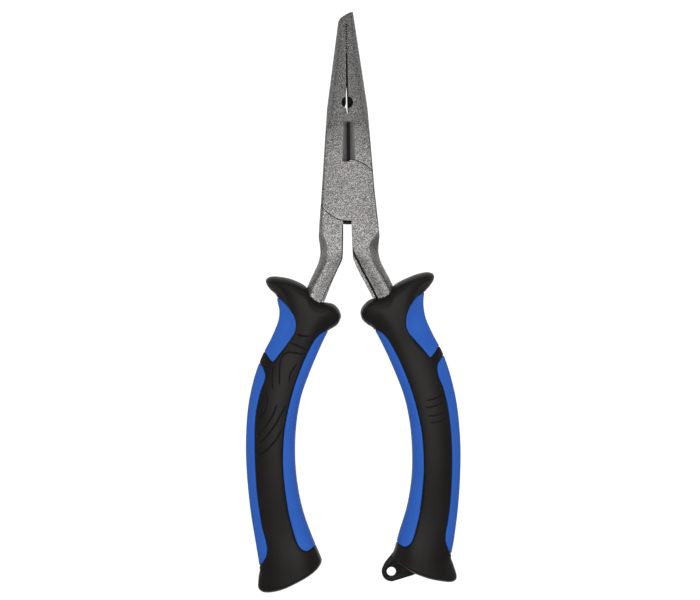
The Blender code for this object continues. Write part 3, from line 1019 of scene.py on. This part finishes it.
def lean_head(obj):
    for vertex in obj.data.vertices:
        vertex.co.x += HEAD_LEAN * max(0.0, vertex.co.y - PIVOT.y * MM)


# ---- grips ------------------------------------------------------------------

# The grid that a grip's front starts from, and how closely it is divided near the pressed lines.
ROWS, COLUMNS = 240, 72
LINE_CUTS, LINE_REACH = 3, 1.0

# Shares of a grip's length: the horn, which is squarer across, and the two rounded ends.
HORN_SHARE, TOP_ROUND, BUTT_ROUND = 0.16, 0.026, 0.016

# A vertex this near to the border of the flat grid is on the grip's silhouette.
RIM = 1e-7

# Half the width of a pressed line.
GROOVE = 0.22

# The pads: distances from the edge at which the surface gets its own edge loops, the depth of the body's
# pockets, the pads' thickness, and how far outside the grip a pad's outline closes.
PAD_LEVELS = (-0.38, -0.14, 0.0, 0.18, 0.5)
POCKET, PAD_WALL = 1.7, 1.15
PAD_REACH = 9.0

# The hollow outside the horn's ridge: its width, and its depth for a grip of this half thickness.
HOLLOW_WIDTH, HOLLOW_DEPTH, HORN_HALF = 3.0, 1.5, 7.0

# A vertex this near to a cut's line is moved onto it, and its edge isn't split.
SNAP = 0.05


def grip_plan(side, s, u):
    """Where a place given as shares of length and width lies from above: a patch between the four runs."""
    top, outer, inner, butt = OUTLINES[side]
    a, b = along_curve(outer, s), along_curve(inner, s)
    c, d = along_curve(top, u), along_curve(butt, u)
    s, u = s[:, None], u[:, None]
    corner = [np.array(p, float) for p in (outer[0], inner[0], outer[-1], inner[-1])]
    corners = (1 - s) * ((1 - u) * corner[0] + u * corner[1]) + s * ((1 - u) * corner[2] + u * corner[3])
    return (1 - u) * a + u * b + (1 - s) * c + s * d - corners


def grip_half(s, u):
    """Half the grip's thickness: round across, and rounded off at both ends."""
    table = dense_curve(GRIP_THICKNESS)
    full = np.interp(s, table[:, 0], table[:, 1])
    power = 2.4 + 1.3 * blend_step(1 - s / HORN_SHARE)
    round_across = np.maximum(0, 1 - np.abs(2 * u - 1) ** power) ** (1 / power)
    near_top = 1 - np.clip(s / TOP_ROUND, 0, 1)
    near_butt = 1 - np.clip((1 - s) / BUTT_ROUND, 0, 1)
    return full * round_across * np.sqrt(1 - near_top**2) * (1 - near_butt**2.6) ** 0.5


def parameter_sheet():
    """A flat grid over the grip's length and width, closer at its borders."""
    t, v = np.linspace(0, 1, ROWS), np.linspace(0, 1, COLUMNS)
    s = 0.5 * t + 0.25 * (1 - np.cos(math.pi * t))
    u = (1 - np.cos(math.pi * v)) / 2
    bm = bmesh.new()
    rows = [[bm.verts.new((a, b, 0)) for b in u] for a in s]
    for upper, lower in zip(rows, rows[1:]):
        for i in range(COLUMNS - 1):
            bm.faces.new((upper[i], lower[i], lower[i + 1], upper[i + 1]))
    return bm


def sheet_places(bm, side):
    """Each vertex's shares of length and width, and its place from above."""
    share = np.array([(v.co.x, v.co.y) for v in bm.verts])
    return share, grip_plan(side, share[:, 0], share[:, 1])


def cut_at(bm, values):
    """Adds an edge loop wherever the values, one for each vertex, change sign. NaN keeps a region whole."""
    bm.verts.index_update()
    fresh, moved = [], {}
    for edge in list(bm.edges):
        a, b = edge.verts
        va, vb = values[a.index], values[b.index]
        if not va * vb < 0:
            continue
        t = va / (va - vb)
        near, gap = (a, abs(va)) if abs(va) < abs(vb) else (b, abs(vb))
        if gap > SNAP or a.is_boundary or b.is_boundary:
            fresh.append(bmesh.utils.edge_split(edge, a, t)[1])
            continue
        if near not in moved:
            moved[near] = a.co.lerp(b.co, t)
            fresh.append(near)
    bmesh.ops.connect_verts(bm, verts=fresh)
    for vertex, place in moved.items():
        vertex.co = place
    bm.verts.index_update()


def refine_near(bm, side, lines):
    """Divides the faces close to the pressed lines into much smaller ones."""
    bm.verts.index_update()
    _, plan = sheet_places(bm, side)
    near = np.min([distance_to_line(plan, line) for line in lines], axis=0) < LINE_REACH
    edges = [e for e in bm.edges if near[e.verts[0].index] and near[e.verts[1].index]]
    bmesh.ops.subdivide_edges(bm, edges=edges, cuts=LINE_CUTS, use_grid_fill=True)


def pressed_depth(plan, lines, deepest):
    """The depth of the pressed lines, V-shaped across and shallower at their ends."""
    depth = np.zeros(len(plan))
    for line in lines:
        ends = np.minimum(*(np.linalg.norm(plan - line[k], axis=1) for k in (0, -1)))
        across = np.clip(1 - distance_to_line(plan, line) / GROOVE, 0, 1)
        depth = np.maximum(depth, deepest * across * np.clip(0.35 + ends / 1.6, 0, 1))
    return depth


def surface_normals(points, faces):
    """Vertex normals of the front, turned up."""
    mesh = bpy.data.meshes.new("probe")
    mesh.from_pydata(points.tolist(), [], faces)
    normals = np.zeros(len(points) * 3, np.float32)
    mesh.vertex_normals.foreach_get("vector", normals)
    bpy.data.meshes.remove(mesh)
    normals = normals.reshape(-1, 3)
    return normals if normals[:, 2].sum() > 0 else -normals


def rim_flat(normals, on_rim):
    """Normals on the silhouette lie in the plane, because the back mirrors the front."""
    flat = normals.copy()
    flat[on_rim, 2] = 0
    return flat / np.linalg.norm(flat, axis=1, keepdims=True)


def body_depth(d):
    """How far the black body sinks near and under a pad."""
    return np.interp(d, [-0.38, -0.26, -0.14, 0.0, 0.18], [0.0, 0.03, 0.2, 0.8, POCKET])


def pad_depth(d):
    """How far a pad sinks towards its rounded edge."""
    return np.interp(d, [0.0, 0.06, 0.18, 0.32, 0.5], [0.5, 0.28, 0.1, 0.03, 0.0])


def two_sided(points, faces, on_rim, side):
    """The front sheet and its mirror image at the back, sharing their rim."""
    count = len(points)
    back_index = np.where(on_rim, np.arange(count), np.arange(count) + count)
    back = points * [1, 1, -1]
    every = np.vstack([points, back]) * [side, 1, 1]
    all_faces = [tuple(f) for f in faces] + [tuple(int(back_index[i]) for i in reversed(f)) for f in faces]
    return every, all_faces


def clean(obj):
    """Drops unused vertices and turns the normals out, judged by the front's upward faces."""
    bm = bmesh.new()
    bm.from_mesh(obj.data)
    bmesh.ops.delete(bm, geom=[v for v in bm.verts if not v.link_faces], context="VERTS")
    bmesh.ops.recalc_face_normals(bm, faces=bm.faces)
    lean = 0.0
    for face in bm.faces:
        front = face.calc_center_median().z > PIVOT.z * MM
        lean += face.normal.z * face.calc_area() * (1 if front else -1)
    if lean < 0:
        bmesh.ops.reverse_faces(bm, faces=bm.faces)
    bm.to_mesh(obj.data)
    bm.free()


def skin(name, points, faces, on_rim, side, material):
    """A smooth object from the front sheet and its mirror image at the back."""
    obj = make_object(name, *two_sided(points, faces, on_rim, side), [material])
    clean(obj)
    obj.data.shade_smooth()
    return obj


def grip_sheet(side, lines):
    """The grip's front from above: places and faces, with edges along the pads and the horn's ridge."""
    bm = parameter_sheet()
    refine_near(bm, side, lines)
    _, plan = sheet_places(bm, side)
    beside = beside_line(plan, dense_curve(RIDGE, 8))
    cut_at(bm, np.where(np.abs(beside) < HOLLOW_WIDTH, beside, np.nan))
    for edge, outward in PADS[side].values():
        for level in PAD_LEVELS:
            _, plan = sheet_places(bm, side)
            cut_at(bm, depth_inside(plan, edge, outward) - level)
    bm.verts.index_update()
    share, plan = sheet_places(bm, side)
    faces = [[v.index for v in f.verts] for f in bm.faces]
    bm.free()
    return share[:, 0], share[:, 1], plan, faces


def hollow_beside_ridge(plan):
    """The share by which the grip thins outside the horn's ridge, where the palm pad lies."""
    ridge = dense_curve(RIDGE, 8)
    beyond = np.vstack([ridge, [(45.0, -66.0), (45.0, -31.4)]])
    fall = np.where(inside(plan, beyond), distance_to_line(plan, ridge), 0)
    steep = 1 - (1 - np.clip(fall / HOLLOW_WIDTH, 0, 1)) ** 2
    return HOLLOW_DEPTH / HORN_HALF * steep * blend_step((plan[:, 1] + 58.0) / 10.0)


def fine_grip(label, side, body_name):
    """The black body with its pockets, and the three blue pads in them."""
    pressed, deepest = PRESSED[side]
    lines = [dense_curve(line, 8) for line in pressed]
    s, u, plan, faces = grip_sheet(side, lines)
    on_rim = (np.minimum(s, 1 - s) < RIM) | (np.minimum(u, 1 - u) < RIM)
    half = np.where(on_rim, 0.0, grip_half(s, u)) * (1 - hollow_beside_ridge(plan))
    points = np.column_stack([plan, half])
    normals = rim_flat(surface_normals(points, faces), on_rim)
    depths = {name: depth_inside(plan, edge, outward) for name, (edge, outward) in PADS[side].items()}
    sink = np.max([body_depth(d) for d in depths.values()], axis=0)
    sink = np.maximum(sink, pressed_depth(plan, lines, deepest))
    body = skin(f"{label}_rubber_body", points - normals * sink[:, None], faces, on_rim, side, RUBBER)
    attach(body, body_name)
    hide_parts(f"{label}_grip_body")
    for name, depth in depths.items():
        kept = [f for f in faces if depth[f].mean() > 0]
        outside = points - normals * pad_depth(depth)[:, None]
        pad = skin(f"{label}_{name}_skin", outside, kept, on_rim, side, BLUE)
        solid = pad.modifiers.new("wall", "SOLIDIFY")
        solid.thickness = PAD_WALL * MM
        solid.offset = -1
        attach(pad, body_name)
        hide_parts(f"{label}_{name}")


def offset_outline(outline, amount):
    """A closed outline moved inwards by an amount."""
    outline = np.asarray(outline, float)
    along = np.roll(outline, -1, 0) - np.roll(outline, 1, 0)
    turn = np.cross(outline, np.roll(outline, -1, 0)).sum()
    inward = np.column_stack([-along[:, 1], along[:, 0]]) * np.sign(turn)
    return outline + amount * inward / np.linalg.norm(inward, axis=1, keepdims=True)


def tab_outline():
    """The lanyard tab from above: a round eye on a wedge that runs back into the core."""
    eye = [math.radians(t) for t in np.linspace(158, 292, 40)]
    x, y = LANYARD_HOLE
    rim = [(x + LANYARD_TAB_RADIUS * math.cos(t), y + LANYARD_TAB_RADIUS * math.sin(t)) for t in eye]
    back = dense_curve([rim[-1], (17.6, -136.1), (21.5, -134.6), (25.0, -130.0), (23.5, -122.0)], 8)[1:]
    front = dense_curve([(17.0, -122.5), (13.2, -127.5), (10.6, -130.6), rim[0]], 8)[:-1]
    return np.array([*rim, *back, *front])


def fine_core():
    """The right grip's hard core, with a rounded lanyard tab that comes out of the butt."""
    outline = tab_outline()
    rings = [at_height(offset_outline(outline, inset), z) for z, inset in both_ways(TAB_EDGE)]
    core = loft("right_core_and_tab", rings, [NYLON])
    boolean(core, turned("bore", LANYARD_HOLE, both_ways(TAB_BORE), [NYLON]))
    boolean(core, loft("sleeve", sleeve_rings(), [NYLON]), "UNION")
    smooth_below(core, 50)
    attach(core, "front")
    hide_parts("right_grip_core")


def sleeve_rings():
    """Rounded sections along the core's middle line."""
    path = along_curve(CORE_PATH, np.linspace(0, 1, 30))
    along = np.gradient(path, axis=0)
    away = np.column_stack([-along[:, 1], along[:, 0]]) / np.linalg.norm(along, axis=1, keepdims=True)
    turn = (np.arange(32) + 0.5) / 32 * 2 * math.pi
    wide = CORE_HALF_WIDTH * np.sign(np.cos(turn)) * np.abs(np.cos(turn)) ** 0.8
    high = CORE_HALF_HEIGHT * np.sign(np.sin(turn)) * np.abs(np.sin(turn)) ** 0.8
    return [np.column_stack([centre + way * wide[:, None], high]) for centre, way in zip(path, away)]


# ---- assembly ---------------------------------------------------------------

# The stage, in metres and watts: half the floor's width, the camera, and the lights, overhead and low down.
FLOOR_HALF = 1.5
CAMERA_PLACE = (-0.0001, 0.0006, 0.708)
CAMERA_LENS, CAMERA_TURN = 102.4, -1.1
OVERHEAD_PLACE, OVERHEAD_SIZE, OVERHEAD_POWER = (0.0, -0.005, 0.44), 0.2, 1.25
FILL_HEIGHT, FILL_SIZE, FILL_POWER = 0.12, 0.4, 0.5
FILL_LIGHTS = {
    "right_fill": (0.6, 0.1),
    "left_fill": (-0.6, 0.1),
    "nose_fill": (0, 0.6),
    "butt_fill": (0, -0.6),
}


def steelwork():
    """The two forgings, each with its jaw on one side and its tang on the other."""
    tang = tang_rings(RIGHT, FRONT_INNER, FRONT_CHEEK, FRONT_FLANGE, FRONT_SHOULDER)
    front = fine_lever("front_forging", LEFT, tang)
    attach(front, "front")
    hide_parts("front_lever")
    tang = tang_rings(LEFT, BACK_INNER, BACK_CHEEK, BACK_FLANGE, BACK_SHOULDER)
    back = fine_lever("back_forging", RIGHT, tang)
    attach(back, "back")
    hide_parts("back_lever")


def carried_over():
    """CAD nodes that stay: the rivet and the left grip's hard core."""
    for name, material in (("pivot_rivet", STEEL), ("left_grip_core", NYLON)):
        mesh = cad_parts[name].data
        mesh.materials.clear()
        mesh.materials.append(material)


def lay_floor():
    mesh = bpy.data.meshes.new("floor")
    corners = [(-FLOOR_HALF, -FLOOR_HALF, 0), (FLOOR_HALF, -FLOOR_HALF, 0)]
    corners += [(FLOOR_HALF, FLOOR_HALF, 0), (-FLOOR_HALF, FLOOR_HALF, 0)]
    mesh.from_pydata(corners, [], [(0, 1, 2, 3)])
    mesh.materials.append(pale_floor())
    floor = bpy.data.objects.new("floor", mesh)
    scene.collection.objects.link(floor)
    floor.visible_diffuse = False


def studio():
    """A white room: a soft light overhead, and weaker ones low down that light the sides and the ends."""
    world = bpy.data.worlds.new("studio")
    world.use_nodes = True
    background = world.node_tree.nodes["Background"]
    background.inputs["Color"].default_value = (1, 1, 1, 1)
    background.inputs["Strength"].default_value = 0.24
    scene.world = world
    add_light("overhead", OVERHEAD_PLACE, OVERHEAD_SIZE, OVERHEAD_POWER)
    for name, (x, y) in FILL_LIGHTS.items():
        add_light(name, (x, y, FILL_HEIGHT), FILL_SIZE, FILL_POWER)


def add_light(name, place, size, power):
    """A soft round light aimed at the pivot, unseen by the camera."""
    light = bpy.data.lights.new(name, "AREA")
    light.shape = "DISK"
    light.size = size
    light.energy = power
    lamp = bpy.data.objects.new(name, light)
    lamp.location = place
    lamp.rotation_euler = (Vector((0, 0, 0)) - Vector(place)).to_track_quat("-Z", "Y").to_euler()
    lamp.visible_camera = False
    scene.collection.objects.link(lamp)


def look_down():
    """A long lens straight above, turned a little about its axis."""
    camera = bpy.data.cameras.new("camera")
    camera.sensor_width = 36
    camera.lens = CAMERA_LENS
    camera.clip_start = 0.01
    eye = bpy.data.objects.new("camera", camera)
    eye.location = CAMERA_PLACE
    eye.rotation_euler = (0, 0, math.radians(CAMERA_TURN))
    scene.collection.objects.link(eye)
    scene.camera = eye


look_down()
steelwork()
fine_grip("right", RIGHT, "front")
fine_grip("left", LEFT, "back")
fine_core()
carried_over()
lay_floor()
studio()
scene.view_settings.view_transform = "Standard"
